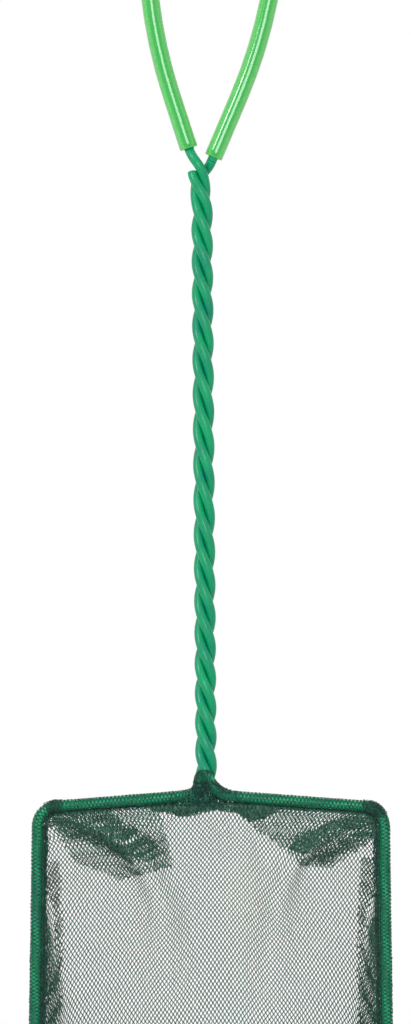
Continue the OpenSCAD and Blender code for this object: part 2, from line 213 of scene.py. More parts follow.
HOOP_CORNERS = [
    bar_start(1),
    np.array([HOOP_X + CORNER_X, CORNER_Z]),
    np.array([HOOP_X + CORNER_X + SPLAY_X, CORNER_Z - SIDE_LEN]),
    np.array([HOOP_X - CORNER_X - SPLAY_X, CORNER_Z - SIDE_LEN]),
    np.array([HOOP_X - CORNER_X, CORNER_Z]),
    bar_start(-1),
]
HOOP_LINE = bend_route(HOOP_CORNERS, [0] + [CORNER_R] * 4 + [0], 6.0)


def neck_curve(phase, side, n=20, first=0.0):
    start, end, out = strand(1.0, phase), in_space(bar_start(side)), in_space(bar_dir(side))
    p = [
        start,
        start + NECK_REACH * NECK_SHARE * strand_dir(1 - DIR_STEP, phase),
        end - NECK_REACH * NECK_SHARE * out,
        end,
    ]
    return bezier(p, np.linspace(first, 1, n + 1))


LEG_POINTS, TWIST_POINTS = 19, 300


def leg_curve(leave, phase, arrive, side, handles, past):
    u = leave / HANDLE_LEN
    end, start = APEX + arrive * leg_dir(side), strand(u, phase)
    p = [
        in_space(end),
        in_space(end - handles[1] * leg_dir(side)) + np.array([0, past, 0]),
        start - handles[0] * strand_dir(u, phase),
        start,
    ]
    return bezier(p, np.linspace(0, 1, LEG_POINTS))


def twist_route(phase, leave):
    return strand(np.linspace(leave / HANDLE_LEN, 1, TWIST_POINTS), phase)


left_leg = leg_curve(LEFT_LEAVE, LEFT_PHASE, LEFT_ARRIVE, -1, LEFT_HANDLES, LEFT_PASS)
right_leg = leg_curve(RIGHT_LEAVE, RIGHT_PHASE, RIGHT_ARRIVE, 1, RIGHT_HANDLES, RIGHT_PASS)
LEFT_LINE = np.concatenate([left_leg, twist_route(LEFT_PHASE, LEFT_LEAVE)[1:]])
RIGHT_LINE = np.concatenate(
    [right_leg, twist_route(RIGHT_PHASE, RIGHT_LEAVE)[1:], neck_curve(RIGHT_PHASE, -1)[1:]]
)
TAIL_LINE = np.concatenate([twist_route(TAIL_PHASE, 0), neck_curve(TAIL_PHASE, 1)[1:]])


# mesh helpers
ROD_ENDS = np.radians([80, 55, 30])
NOISE_WAVES, NOISE_GAIN = 5, 1.8


def add_object(name, data):
    obj = bpy.data.objects.new(name, data)
    bpy.context.scene.collection.objects.link(obj)
    return obj


def add_mesh(name, verts, faces, material, smooth=True):
    """A mesh object from millimetre points and a list of arrays of faces."""
    mesh = bpy.data.meshes.new(name)
    mesh.from_pydata((np.asarray(verts) * MM).tolist(), [], [f for g in faces for f in g.tolist()])
    mesh.validate()
    mesh.update()
    mesh.materials.append(material)
    if smooth:
        mesh.polygons.foreach_set("use_smooth", np.ones(len(mesh.polygons), bool))
    return add_object(name, mesh)


def frames_along(p, up=(0, 1, 0)):
    """Tangents and two cross directions that don't twist along the line."""
    t = unit(np.gradient(p, axis=0))
    a = np.zeros_like(p)
    first = np.cross(t[0], up)
    if np.linalg.norm(first) < LEAST_STEP:
        first = np.cross(t[0], (1, 0, 0))
    a[0] = unit(first)
    for i in range(1, len(p)):
        a[i] = unit(a[i - 1] - t[i] * (a[i - 1] @ t[i]))
    return t, a, np.cross(t, a)


def ring_points(p, a, b, radius, sides):
    w = np.linspace(0, 2 * np.pi, sides, endpoint=False)[None, :, None]
    radius = np.broadcast_to(np.asarray(radius, float).reshape(-1, 1, 1), (len(p), 1, 1))
    return (p[:, None] + radius * (np.cos(w) * a[:, None] + np.sin(w) * b[:, None])).reshape(-1, 3)


def wall_faces(rings, sides):
    i, j = np.meshgrid(np.arange(rings - 1), np.arange(sides), indexing="ij")
    a = i * sides + j
    b = i * sides + (j + 1) % sides
    return np.stack([a, b, b + sides, a + sides], -1).reshape(-1, 4)


def rod_mesh(p, radius, sides, up=(0, 1, 0)):
    """Vertices and faces of a rod along a line, with rounded ends."""
    t, a, b = frames_along(p, up)
    out, thin = np.sin(ROD_ENDS)[:, None], np.cos(ROD_ENDS)
    radii = radius * np.concatenate([thin, np.ones(len(p)), thin[::-1]])
    p = np.concatenate([p[0] - t[0] * radius * out, p, p[-1] + t[-1] * radius * out[::-1]])
    reach = (len(ROD_ENDS), len(ROD_ENDS))
    a, b = (np.pad(q, (reach, (0, 0)), "edge") for q in (a, b))
    ring = np.arange(sides)
    last = ring + (len(p) - 1) * sides
    walls = wall_faces(len(p), sides)
    return ring_points(p, a, b, radii, sides), [walls, ring[::-1][None], last[None]]


def tube_mesh(p, outer, inner, sides, lip):
    """A tube with a bore and slightly rounded rims."""
    t, a, b = frames_along(p)
    start = p[:1] - t[:1] * lip, a[:1], b[:1]
    end = p[-1:] + t[-1:] * lip, a[-1:], b[-1:]
    # from the bore's rim over the outer wall to the other rim, and back through the bore
    verts = [
        ring_points(*start, inner + lip, sides),
        ring_points(*start, outer - lip, sides),
        ring_points(p, a, b, outer, sides),
        ring_points(*end, outer - lip, sides),
        ring_points(*end, inner + lip, sides),
        ring_points(p[::-1], a[::-1], b[::-1], inner, sides),
    ]
    rings = 2 * len(p) + 4
    i = np.arange(sides)
    j = (i + 1) % sides
    base = (rings - 1) * sides
    close = np.stack([base + i, base + j, j, i], -1)
    return np.concatenate(verts), [wall_faces(rings, sides), close]


def smooth_noise(points, scale, seed, octaves=2):
    """Soft random values from -1 to 1 at points, from sums of sines."""
    rng = np.random.default_rng(seed)
    out = np.zeros(len(points))
    total = 0
    for o in range(octaves):
        f = 2**o / scale
        for _ in range(NOISE_WAVES):
            d = unit(rng.normal(size=3))
            out += np.sin(2 * np.pi * f * (points @ d) + rng.uniform(0, 2 * np.pi)) / 2**o
        total += NOISE_WAVES / 2**o
    return out / total * NOISE_GAIN


# materials
def srgb(r, g, b):
    def lin(c):
        c /= 255
        return c / 12.92 if c <= 0.04045 else ((c + 0.055) / 1.055) ** 2.4

    return (lin(r), lin(g), lin(b), 1.0)


def set_inputs(node, values):
    """Sets constants on sockets, and links those whose value is another node's output."""
    for key, value in values.items():
        if isinstance(value, bpy.types.NodeSocket):
            node.id_data.links.new(value, node.inputs[key])
        else:
            node.inputs[key].default_value = value


def add_node(nodes, kind, values=None, operation=None):
    node = nodes.new("ShaderNode" + kind)
    if operation:
        node.operation = operation
    set_inputs(node, values or {})
    return node


def material(name, rough):
    m = bpy.data.materials.new(name)
    m.use_nodes = True
    shader = m.node_tree.nodes["Principled BSDF"]
    shader.inputs["Roughness"].default_value = rough
    return m, m.node_tree.nodes, shader


def noise_value(nodes, scale, detail, stretch=(1, 1, 1)):
    where = add_node(nodes, "TexCoord").outputs["Object"]
    place = add_node(nodes, "Mapping", {"Scale": stretch, "Vector": where}).outputs["Vector"]
    values = {"Scale": scale, "Detail": detail, "Vector": place}
    return add_node(nodes, "TexNoise", values).outputs["Fac"]


def ramp_colour(nodes, noise, places, colours):
    """Colours that follow a noise."""
    ramp = add_node(nodes, "ValToRGB", {"Fac": noise})
    els = ramp.color_ramp.elements
    while len(els) < len(places):
        els.new(0.5)
    for e, at, colour in zip(els, places, colours):
        e.position = at
        e.color = srgb(*colour)
    return ramp.outputs["Color"]


def bump_normal(nodes, noise, strength, distance):
    values = {"Strength": strength, "Distance": distance, "Height": noise}
    return add_node(nodes, "Bump", values).outputs["Normal"]


def pvc_coating(name, *colours):
    m, nodes, shader = material(name, 0.36)
    noise, fine = noise_value(nodes, 90, 4), noise_value(nodes, 500, 3)
    rough = add_node(nodes, "MapRange", {"To Min": 0.3, "To Max": 0.44, "Value": fine})
    values = {
        "Base Color": ramp_colour(nodes, noise, (0.3, 0.5, 0.75), colours),
        "Roughness": rough.outputs["Result"],
        "Normal": bump_normal(nodes, fine, 0.15, 0.0001),
        "Coat Weight": 0.25,
        "Coat Roughness": 0.17,
        "Specular IOR Level": 0.2,
        "Subsurface Weight": 0.4,
        "Subsurface Radius": (0.15, 1.0, 0.7),
        "Subsurface Scale": 0.0025,
    }
    set_inputs(shader, values)
    return m


def yarn(name, *colours, rough=0.6):
    m, nodes, shader = material(name, rough)
    noise, fibre = noise_value(nodes, 800, 4), noise_value(nodes, 4000, 2, (1, 1, 0.3))
    values = {
        "Base Color": ramp_colour(nodes, noise, (0.3, 0.52, 0.75), colours),
        "Normal": bump_normal(nodes, fibre, 0.4, 0.00005),
        "Specular IOR Level": 0.15,
        "Sheen Weight": 0.08,
        "Sheen Roughness": 0.5,
    }
    set_inputs(shader, values)
    return m


def drawn_steel(name, *colours):
    m, nodes, shader = material(name, 0.35)
    noise = noise_value(nodes, 700, 3, (1, 1, 0.05))
    values = {
        "Metallic": 1.0,
        "Base Color": ramp_colour(nodes, noise, (0.3, 0.7), colours),
        "Normal": bump_normal(nodes, noise, 0.2, 0.00005),
    }
    set_inputs(shader, values)
    return m


def sleeve_plastic(name, rim, face):
    """The rims are painted pale: painted light, for light that passes through the plastic and reflects
    at its edges. The face is deep in colour.
    """
    m, nodes, shader = material(name, 0.22)
    noise, fine = noise_value(nodes, 1500, 3), noise_value(nodes, 300, 2, (1, 1, 0.4))
    # painted light: where the normal turns away from the front and back, the pale rim colours take over
    normal = add_node(nodes, "TexCoord").outputs["Normal"]
    split = add_node(nodes, "SeparateXYZ", {"Vector": normal})
    facing = add_node(nodes, "Math", {0: split.outputs["Y"]}, "ABSOLUTE").outputs[0]
    painted_rim_band = add_node(nodes, "MapRange", {"From Min": 0.76, "From Max": 0.96, "Value": facing})
    painted_rim_band.interpolation_type = "SMOOTHSTEP"
    mix = add_node(nodes, "Mix", {"Factor": painted_rim_band.outputs["Result"]})
    mix.data_type = "RGBA"
    for socket, colours in ((6, rim), (7, face)):
        set_inputs(mix, {socket: ramp_colour(nodes, noise, (0.3, 0.5, 0.7), colours)})
    values = {
        "Base Color": mix.outputs[2],
        "Normal": bump_normal(nodes, fine, 0.02, 0.0002),
        "Coat Weight": 0.95,
        "Coat IOR": 1.7,
        "Coat Roughness": 0.12,
        "Specular IOR Level": 0.08,
        "Transmission Weight": 0.1,
    }
    set_inputs(shader, values)
    return m


WIRE_GREEN = pvc_coating("wire_coating", (0, 138, 108), (0, 152, 102), (4, 166, 106))
# pale colours of the sleeve's rims: painted light
SLEEVE_RIM_PAINTED_LIGHT = ((76, 198, 84), (94, 208, 96), (112, 216, 110))
SLEEVE_FACE = ((0, 172, 56), (6, 178, 60), (30, 186, 70))
SLEEVE_GREEN = sleeve_plastic("sleeve_plastic", SLEEVE_RIM_PAINTED_LIGHT, SLEEVE_FACE)
STEEL = drawn_steel("drawn_steel", (110, 112, 116), (178, 180, 184))
NET_YARN = yarn("net_yarn", (38, 80, 66), (60, 108, 89), (96, 140, 118))
HEM_YARN = yarn("hem_yarn", (2, 70, 52), (10, 90, 68), (34, 122, 90))
HEM_DARK = yarn("hem_edge_yarn", (12, 58, 50), (24, 78, 64), (48, 106, 86))
NECK_YARN = yarn("neck_yarn", (16, 58, 52), (30, 88, 72), (62, 138, 110))
SEWING = yarn("sewing_thread", (10, 38, 36), (20, 56, 50), (36, 78, 68), rough=0.5)


# camera, and the scale of the front view, whose pixels run right and down
PHOTO_W, PHOTO_H = 411, 1024
MM_PER_PX = 0.3352
TOP_X_PX, TOP_Y_PX = 215.6, -145.6
CAMERA_Y = -2500.0
SENSOR = 36.0


def x_of(px):
    return (px - TOP_X_PX) * MM_PER_PX


def z_of(px):
    return SLEEVE_R - (px - TOP_Y_PX) * MM_PER_PX


camera_data = bpy.data.cameras.new("camera")
camera = add_object("camera", camera_data)
camera.location = (x_of(PHOTO_W / 2) * MM, CAMERA_Y * MM, z_of(PHOTO_H / 2) * MM)
camera.rotation_euler = (math.pi / 2, 0, 0)
camera_data.sensor_width = SENSOR
camera_data.lens = SENSOR * -CAMERA_Y / (PHOTO_H * MM_PER_PX)
camera_data.clip_start = 0.05
camera_data.clip_end = 20.0
bpy.context.scene.camera = camera


def piece(name, parts, coat, slot, *nodes):
    """One piece of the model, from one or more meshes."""
    verts, faces, n = [], [], 0
    for v, groups in parts:
        verts.append(v)
        faces += [f + n for f in groups]
        n += len(v)
    obj = add_mesh(name, np.concatenate(verts), faces, coat)
    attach(obj, "root")
    if nodes:
        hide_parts(*nodes)
    return obj


# wire, sleeve, cores
LOOP_STEP, HOOP_STEP = 2.0, 1.2
BORE_GAP, WIRE_SIDES, WIRE_LIP = 0.02, 24, 0.12
SLEEVE_SIDES, SLEEVE_LIP = 36, 0.2
loop_line = spaced(loop_route(0, 0), LOOP_STEP)
# both ends reach into the legs, so that the wire shows no joint there
LOOP_END_REACH = 0.35
drawn_out = loop_line.copy()
drawn_out[0] += LOOP_END_REACH * unit(loop_line[0] - loop_line[1])
drawn_out[-1] += LOOP_END_REACH * unit(loop_line[-1] - loop_line[-2])

for name, line, node in (
    ("handle_wire_left_leg", LEFT_LINE, "handle_strand_left_leg"),
    ("handle_wire_right_leg", RIGHT_LINE, "handle_strand_right_leg"),
    ("handle_wire_tail", TAIL_LINE, "handle_strand_tail"),
    ("loop_wire", drawn_out, "loop_wire_coat"),
    ("hoop_wire", spaced(HOOP_LINE, HOOP_STEP), "hoop_wire_coat"),
):
    tube = tube_mesh(line, WIRE_R, CORE_R + BORE_GAP, WIRE_SIDES, WIRE_LIP)
    piece(name, [tube], WIRE_GREEN, "wire_coating", node)

sleeve_line = spaced(loop_route(BARE_LEFT, BARE_RIGHT), LOOP_STEP)
tube = tube_mesh(sleeve_line, SLEEVE_R, SLEEVE_BORE_R, SLEEVE_SIDES, SLEEVE_LIP)
piece("loop_tube", [tube], SLEEVE_GREEN, "sleeve", "loop_sleeve")

for name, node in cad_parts.items():
    if "_core" in name:
        node.data.materials.clear()
        node.data.materials.append(STEEL)
        node.data.polygons.foreach_set("use_smooth", np.ones(len(node.data.polygons), bool))


# the bag's surface
ACROSS, DEEP = 96, 60
MOUTH_HALF_W = CORNER_X - MOUTH_INSET
MOUTH_HALF_H = SIDE_LEN / 2 - MOUTH_INSET
MOUTH_Z = CORNER_Z - SIDE_LEN / 2
MOUTH_CORNER = CORNER_R - MOUTH_INSET
TOE_ROUND_SHARE, TOE_ROUND_POWER = 0.36, 7
BULGE_SHARE, BULGE_END, FLARE_SHARE = 0.028, 0.09, 0.12
WIRE_LINE = 1.1  # how far the side walls may stand out from the mouth's edge, behind the wire
TOE_LEAN = np.array([0, 1.0, -0.2])
UPPER_SHARES = ((0.25, 0.5), (0.98, 0))
FIRST_SHARE, SECOND_SHARE, SAG_SHARE = 0.4, 0.8, 0.3
FIRST_SAG = BAG_DEPTH * FIRST_SHARE * SAG_SHARE
SECOND_SAG = (MOUTH_HALF_H - 3 * FIRST_SAG - TOE_DROP + 8 * BAG_DROOP) / 3
TOE = [BAG_DEPTH, -TOE_DROP]
UPPER_BENDS = [[BAG_DEPTH * back, MOUTH_HALF_H * high] for back, high in UPPER_SHARES]
UPPER_LINE = np.array([[0, MOUTH_HALF_H], *UPPER_BENDS, TOE])
LOWER_BENDS = [
    [BAG_DEPTH * FIRST_SHARE, -MOUTH_HALF_H - FIRST_SAG],
    [BAG_DEPTH * SECOND_SHARE, -MOUTH_HALF_H - SECOND_SAG],
]
LOWER_LINE = np.array([[0, -MOUTH_HALF_H], *LOWER_BENDS, TOE])
SIDE_POINTS, ARC_POINTS, TOP_POINTS = 40, 16, 60


def outline_points():
    """Half the mouth's outline at even distances, in units of its half width and height."""
    cu, cv = MOUTH_CORNER / MOUTH_HALF_W, MOUTH_CORNER / MOUTH_HALF_H
    left = np.stack([-np.ones(SIDE_POINTS), np.linspace(0, 1 - cv, SIDE_POINTS)], -1)
    w = np.radians(np.linspace(180, 90, ARC_POINTS))[1:]
    arc = np.stack([cu - 1 + cu * np.cos(w), 1 - cv + cv * np.sin(w)], -1)
    top = np.stack([np.linspace(cu - 1, 0, TOP_POINTS), np.ones(TOP_POINTS)], -1)[1:]
    half = np.concatenate([left, arc, top])
    full = np.concatenate([half, (half * [-1, 1])[::-1][1:]])
    d = lengths_along(full * [MOUTH_HALF_W, MOUTH_HALF_H])
    return sampled(np.linspace(0, d[-1], ACROSS + 1), d, full)


def bag_grid(up):
    """Points of one panel, rows from the mouth to the toe, before it is folded and hung."""
    o = outline_points()[None]
    v = np.linspace(0, 1, DEEP + 1)[:, None]
    w = np.arctan2(o[..., 1], o[..., 0])
    share = ease(v)
    across = o[..., 0] * (1 - share) + np.cos(w) * share
    high = up * (o[..., 1] * (1 - share) + np.sin(w) * share)
    half_w = MOUTH_HALF_W + SPLAY_X * (1 - up * o[..., 1]) / 2
    rise = BAR_DROP * (1 + up * o[..., 1]) / 2 * (1 - np.abs(o[..., 0])) * (1 - v) ** 2
    top, low = bezier(UPPER_LINE, v[:, 0])[:, None], bezier(LOWER_LINE, v[:, 0])[:, None]
    yz = (top + low) / 2 + high[..., None] * (top - low) / 2
    # the slack cloth bulges out behind the wire and flares a little to the back
    narrow = (1 + BULGE_SHARE * ease(v / BULGE_END)) * (1 + FLARE_SHARE * yz[..., 0] / BAG_DEPTH)
    narrow = narrow - TOE_ROUND_SHARE * v**TOE_ROUND_POWER
    return np.stack([HOOP_X + across * half_w * narrow, yz[..., 0], MOUTH_Z + yz[..., 1] + rise], -1)


def grid_normals(g, up):
    du, dv = np.gradient(g, axis=1), np.gradient(g, axis=0)
    n = unit(np.cross(du, dv)) * up
    # at the toe line the two panels share one direction
    n[-1] = unit(n[-2] + TOE_LEAN)
    return n


CLOTH_SCALE, CLOTH_FRAMES, HELD_ROWS = 0.01, 26, 6
MOVE_SHARES, MOST_MOVE = (0.25, 1, 1), 7.0


def cloth_faces(n, m, ring):
    """Quads of the closed ring of rows, and of the toe row, where both panels end."""
    faces = wall_faces(m, ring).tolist()
    last, toe = (m - 1) * ring, m * ring
    for i in range(n):
        faces.append((last + i, last + i + 1, toe + i + 1, toe + i))
    for i in range(n):
        faces.append((last + n + i, last + (n + i + 1) % ring, toe + n - i - 1, toe + n - i))
    return faces


def settle(upper, lower):
    """Lets the cloth hang: the mouth is held, the rest sags and wrinkles a little."""
    n, m = ACROSS, DEEP
    ring = 2 * n
    rows = [np.concatenate([upper[j], lower[j][1:-1][::-1]]) for j in range(m)]
    verts = np.concatenate([*rows, upper[m]])
    mesh = bpy.data.meshes.new("settle")
    mesh.from_pydata((verts * CLOTH_SCALE).tolist(), [], cloth_faces(n, m, ring))
    mesh.update()
    obj = add_object("settle", mesh)
    group = obj.vertex_groups.new(name="held")
    for j in range(HELD_ROWS):
        group.add(list(range(j * ring, (j + 1) * ring)), 1 - j / HELD_ROWS, "REPLACE")
    cloth = obj.modifiers.new("Cloth", "CLOTH")
    s = cloth.settings
    s.vertex_group_mass = "held"
    s.quality = 6
    s.mass = 0.1
    s.tension_stiffness = s.compression_stiffness = 12
    s.shear_stiffness = 6
    s.bending_stiffness = 0.4
    s.shrink_min = -0.03
    s.effector_weights.gravity = 0.04
    s.air_damping = 3
    cloth.collision_settings.use_collision = False
    scene = bpy.context.scene
    cloth.point_cache.frame_start, cloth.point_cache.frame_end = 1, 30
    for f in range(1, CLOTH_FRAMES + 1):
        scene.frame_set(f)
    done = obj.evaluated_get(bpy.context.evaluated_depsgraph_get())
    co = np.empty(len(done.data.vertices) * 3)
    done.data.vertices.foreach_get("co", co)
    co = co.reshape(-1, 3) / CLOTH_SCALE
    scene.frame_set(1)
    bpy.data.objects.remove(obj)
    move = (co - verts) * MOVE_SHARES
    far = np.linalg.norm(move, axis=1, keepdims=True)
    co = verts + move * np.minimum(1, MOST_MOVE / np.maximum(far, 1e-9))
    up, low = upper.copy(), lower.copy()
    for j in range(m):
        row = co[j * ring : (j + 1) * ring]
        up[j] = row[: n + 1]
        low[j][0], low[j][-1] = row[0], row[n]
        low[j][1:-1] = row[n + 1 :][::-1]
    up[m] = low[m] = co[m * ring :]
    return up, low


# side, depth and drift to the middle of the two corner folds, where they start, and their widths
CORNER_FOLDS = ((-1, 4.5, 0.42), (1, 4.0, 0.36))
FOLD_START, FOLD_DRIFT_END, FOLD_WIDTH, FOLD_WIDENS = 0.55, 0.14, 0.035, 0.06
WAVE_HIGH, WAVE_LONG = 0.9, 34
RIPPLES, RIPPLE_HIGH, RIPPLE_FADE = 46, 0.35, 9


def folded(g, up):
    """Adds the folds that the cut and the sewing give: two at the corners and small gathers."""
    n = grid_normals(g, up)
    s = np.linspace(-1, 1, ACROSS + 1)[None]
    v = np.linspace(0, 1, DEEP + 1)[:, None]
    held = ease(v / 0.06) * ease((1 - v) / 0.12)
    out = np.zeros_like(g[..., 0])
    for side, size, drift in CORNER_FOLDS if up > 0 else ():
        centre = side * (FOLD_START - drift * (1 - np.exp(-v / FOLD_DRIFT_END)))
        width = FOLD_WIDTH + FOLD_WIDENS * v
        out -= size * np.exp(-(((s - centre) / width) ** 2)) * ease(v / 0.15) * ease((1 - v) / 0.6)
    waves = smooth_noise(g.reshape(-1, 3), WAVE_LONG, 11 if up > 0 else 12, 3)
    out += WAVE_HIGH * waves.reshape(out.shape)
    ripple = np.sin(s * RIPPLES + 5 * v) * np.exp(-v * RIPPLE_FADE) * RIPPLE_HIGH
    return g + n * ((out + ripple) * held)[..., None]


UPPER, LOWER = folded(bag_grid(1), 1), folded(bag_grid(-1), -1)
UPPER, LOWER = settle(UPPER, LOWER)
UPPER[-1] = LOWER[-1] = (UPPER[-1] + LOWER[-1]) / 2
# seen from the front, the cloth stays inside the line of the wire
for grid in (UPPER, LOWER):
    low = np.clip((MOUTH_Z + MOUTH_HALF_H - grid[..., 2]) / (2 * MOUTH_HALF_H), 0, 1)
    reach = (MOUTH_HALF_W + SPLAY_X * low + WIRE_LINE) * (1 + grid[..., 1] / -CAMERA_Y)
    grid[..., 0] = HOOP_X + np.clip(grid[..., 0] - HOOP_X, -reach, reach)
SIDES = {1: (UPPER, grid_normals(UPPER, 1)), -1: (LOWER, grid_normals(LOWER, -1))}

# knitted threads: pitch, height of a row, half of a row's upright part, yarn, reach over the edge
PITCH, ROW, UPRIGHT, YARN_R, EDGE_REACH = 1.39, 1.25, 0.26, 0.19, 0.55
# yarns that cross lie side by side by this share of their radius, and over each other by a rise
CROSS_SHARE, CROSS_RISE, EDGE_SHARE, JITTER = 0.8, 0.06, 0.4, 0.035
CORNERS = (90, 210, 330)


def zigzag(count):
    """The rows of one thread's bends, and where in its row each bend lies."""
    return np.repeat(np.arange(count), 2), np.tile([-UPRIGHT, UPRIGHT], count)


def threads_mesh(points, normals, radius, valid=None):
    """Three-sided closed threads, from lists of points and of normals [thread, place, 3]."""
    points, normals = np.concatenate(points), np.concatenate(normals)
    if valid is None:
        valid = np.ones(points.shape[:2], bool)
    n, m, _ = points.shape
    padded = np.pad(points, ((0, 0), (1, 1), (0, 0)), "edge")
    tangent = unit(padded[:, 2:] - padded[:, :-2])
    side = unit(np.cross(tangent, normals))
    out = unit(np.cross(side, tangent))
    index = np.full((n, m), -1)
    index[valid] = np.arange(valid.sum())
    rings = []
    for w in CORNERS:
        rings.append(points + radius * (math.cos(rad(w)) * side + math.sin(rad(w)) * out))
    verts = np.stack(rings, 2)[valid].reshape(-1, 3)
    both = valid[:, :-1] & valid[:, 1:]
    a, b = index[:, :-1][both] * 3, index[:, 1:][both] * 3
    quads = np.concatenate(
        [np.stack([a + i, a + (i + 1) % 3, b + (i + 1) % 3, b + i], -1) for i in range(3)]
    )
    wide = np.pad(valid, ((0, 0), (1, 1)))
    starts = index[valid & ~wide[:, :-2]] * 3
    ends = index[valid & ~wide[:, 2:]] * 3
    caps = [np.stack([starts + 2, starts + 1, starts], -1), np.stack([ends, ends + 1, ends + 2], -1)]
    return verts, [quads, *caps]


def panel_threads(up, left, right, lift=0.0, seed=0, keep=None, slip=(0, 0)):
    """The net's threads on one panel, between two distances from its middle line."""
    grid, normal = SIDES[up]
    mid = ACROSS // 2
    down = lengths_along(grid[:, mid])
    columns = np.arange(math.floor(left / PITCH) - 1, math.ceil(right / PITCH) + 2)
    row, end = zigzag(int(down[-1] / ROW))
    b = np.minimum(row * ROW + end, down[-1] - 0.01)
    b[0] = -EDGE_REACH
    at = np.interp(b, down, np.arange(DEEP + 1))
    j = np.minimum(at.astype(int), DEEP - 1)
    f = (at - j)[:, None, None]
    lines = grid[j] * (1 - f) + grid[j + 1] * f
    norms = normal[j] * (1 - f) + normal[j + 1] * f
    lines[0] -= up * EDGE_REACH * inward_of(grid[0])
    steps = np.linalg.norm(np.diff(lines, axis=1), axis=2)
    along = np.concatenate([np.zeros((len(b), 1)), np.cumsum(steps, axis=1)], axis=1)
    along -= along[:, mid : mid + 1]
    all_points, all_normals, all_valid = [], [], []
    odd = row % 2
    for kind in (1, -1):
        x = columns[:, None] * PITCH + kind * odd[None] * PITCH / 2
        x = x + kind * np.where(odd, -1, 1)[None] * YARN_R * CROSS_SHARE + slip[0] + slip[1] * b[None]
        points = np.empty((len(columns), len(b), 3))
        norm = np.empty_like(points)
        for k in range(len(b)):
            points[:, k] = sampled(x[:, k], along[k], lines[k])
            norm[:, k] = sampled(x[:, k], along[k], norms[k])
        low = np.maximum(left, along[:, 0] - PITCH * EDGE_SHARE)
        high = np.minimum(right, along[:, -1] + PITCH * EDGE_SHARE)
        valid = (x >= low[None]) & (x < high[None])
        if keep is not None:
            valid &= keep(points[..., 0], points[..., 2])
        # a run of one point is no thread
        wide = np.pad(valid, ((0, 0), (1, 1)))
        valid &= wide[:, :-2] | wide[:, 2:]
        rise = np.where(end > 0, 1, -1)[None] * kind * CROSS_RISE
        norm = unit(norm)
        all_points.append(points + norm * (lift + rise)[..., None])
        all_normals.append(norm)
        all_valid.append(valid)
    points = np.concatenate(all_points)
    valid = np.concatenate(all_valid)
    jitter = np.random.default_rng(seed).normal(0, JITTER, points.shape)
    if keep is None:
        widths = np.minimum(right, along[:, -1]) - np.maximum(left, along[:, 0])
        flat = float(sum(widths) * ROW / 2)
    else:
        flat = float(valid.sum()) * PITCH * ROW / 4
    return threads_mesh([points + jitter], all_normals, YARN_R, valid), flat


def inside(corners):
    """Tells which points lie in an outline, given in pixels of the front view."""
    poly = np.array([[x_of(x), z_of(y)] for x, y in corners])

    def keep(x, z):
        # an uneven edge
        x = x + 0.5 * np.sin(z * 2.3) + 0.3 * np.sin(z * 5.1 + 1)
        hit = np.zeros(x.shape, bool)
        for (ax, az), (bx, bz) in zip(poly, np.roll(poly, -1, axis=0)):
            if az != bz:
                cross = ax + (z - az) * (bx - ax) / (bz - az)
                hit ^= ((az > z) != (bz > z)) & (x < cross)
        return hit

    return keep


# outlines of the folded layers of cloth, in pixels of the front view
MOUTH_TUCK = [
    (96, 785), (112, 804), (150, 808), (165, 812), (187, 817), (196, 814), (210, 810),
    (219, 809.6), (226, 811), (238, 812), (249, 821), (262, 816), (284, 807), (296, 785),
]
LEFT_TUCK = [
    (48, 812), (62, 800), (96, 800), (120, 820), (150, 838), (163, 852), (150, 864), (120, 857),
    (84, 843), (58, 832),
]
LEFT_BACK = [
    (40, 795), (150, 795), (160, 812), (170, 850), (172, 868), (120, 882), (72, 862), (58, 836),
    (40, 822),
]
RIGHT_BACK = [
    (238, 800), (385, 800), (385, 830), (352, 856), (330, 870), (300, 866), (284, 850),
    (268, 838), (255, 828), (247, 820),
]
RIGHT_TUCK = [(380, 806), (380, 821), (340, 830), (302, 856), (286, 850), (300, 836), (335, 818)]
RIGHT_SECOND = [(384, 816), (384, 832), (354, 848), (322, 868), (310, 862), (340, 840)]
# outline, lift from the sheet, and how far the meshes are shifted at the mouth and for each mm down
UPPER_TUCKS = [
    (MOUTH_TUCK, -0.45, (0.5, 0.22)),
    (MOUTH_TUCK, -0.85, (0.2, -0.35)),
    (MOUTH_TUCK, 0.45, (0.9, 0.1)),
    (MOUTH_TUCK, -1.2, (0.6, 0.1)),
    (LEFT_BACK, -0.65, (0.6, 0.15)),
    (LEFT_TUCK, -1.05, (0.3, -0.3)),
    (LEFT_TUCK, 0.6, (0.8, 0.4)),
    (RIGHT_BACK, -0.65, (0.7, -0.12)),
    (RIGHT_TUCK, -1.05, (0.3, 0.35)),
    (RIGHT_TUCK, 0.6, (0.9, -0.25)),
    (RIGHT_TUCK, -1.4, (0.6, 0.5)),
    (RIGHT_SECOND, -1.2, (0.1, 0.2)),
    (RIGHT_SECOND, 1.1, (0.5, -0.4)),
]
# the cloth lies double along both sides, next to the wire
LEFT_STRIP = [
    (45, 866), (59, 862), (61, 940), (59, 1110), (43, 1110), (43, 995), (54, 965), (52, 915), (45, 898),
]
RIGHT_STRIP = [
    (361, 858), (376, 862), (377, 898), (369, 912), (367, 955), (379, 985), (379, 1110), (361, 1110),
    (359, 940),
]
LOWER_TUCKS = [(LEFT_STRIP, 0.5, (0.45, 0.12)), (RIGHT_STRIP, 0.5, (0.4, -0.12))]
UPPER_TUCKS += LOWER_TUCKS
# the width of half a panel, a distance beyond every edge, and the stretch of the knit
HALF_PANEL, BEYOND, STRETCH = 101.0, 200, 1.15


def sheet_piece(name, up, left, right, node, seed):
    """A piece of the net, with its folded layers."""
    threads, flat = panel_threads(up, left, right, seed=seed)
    parts = [threads]
    for k, (corners, lift, slip) in enumerate(UPPER_TUCKS if up > 0 else LOWER_TUCKS):
        threads, more = panel_threads(up, left, right, lift, seed * 10 + k, inside(corners), slip)
        if len(threads[0]):
            parts.append(threads)
            flat += more
    obj = piece(name, parts, NET_YARN, "net_mesh", node)


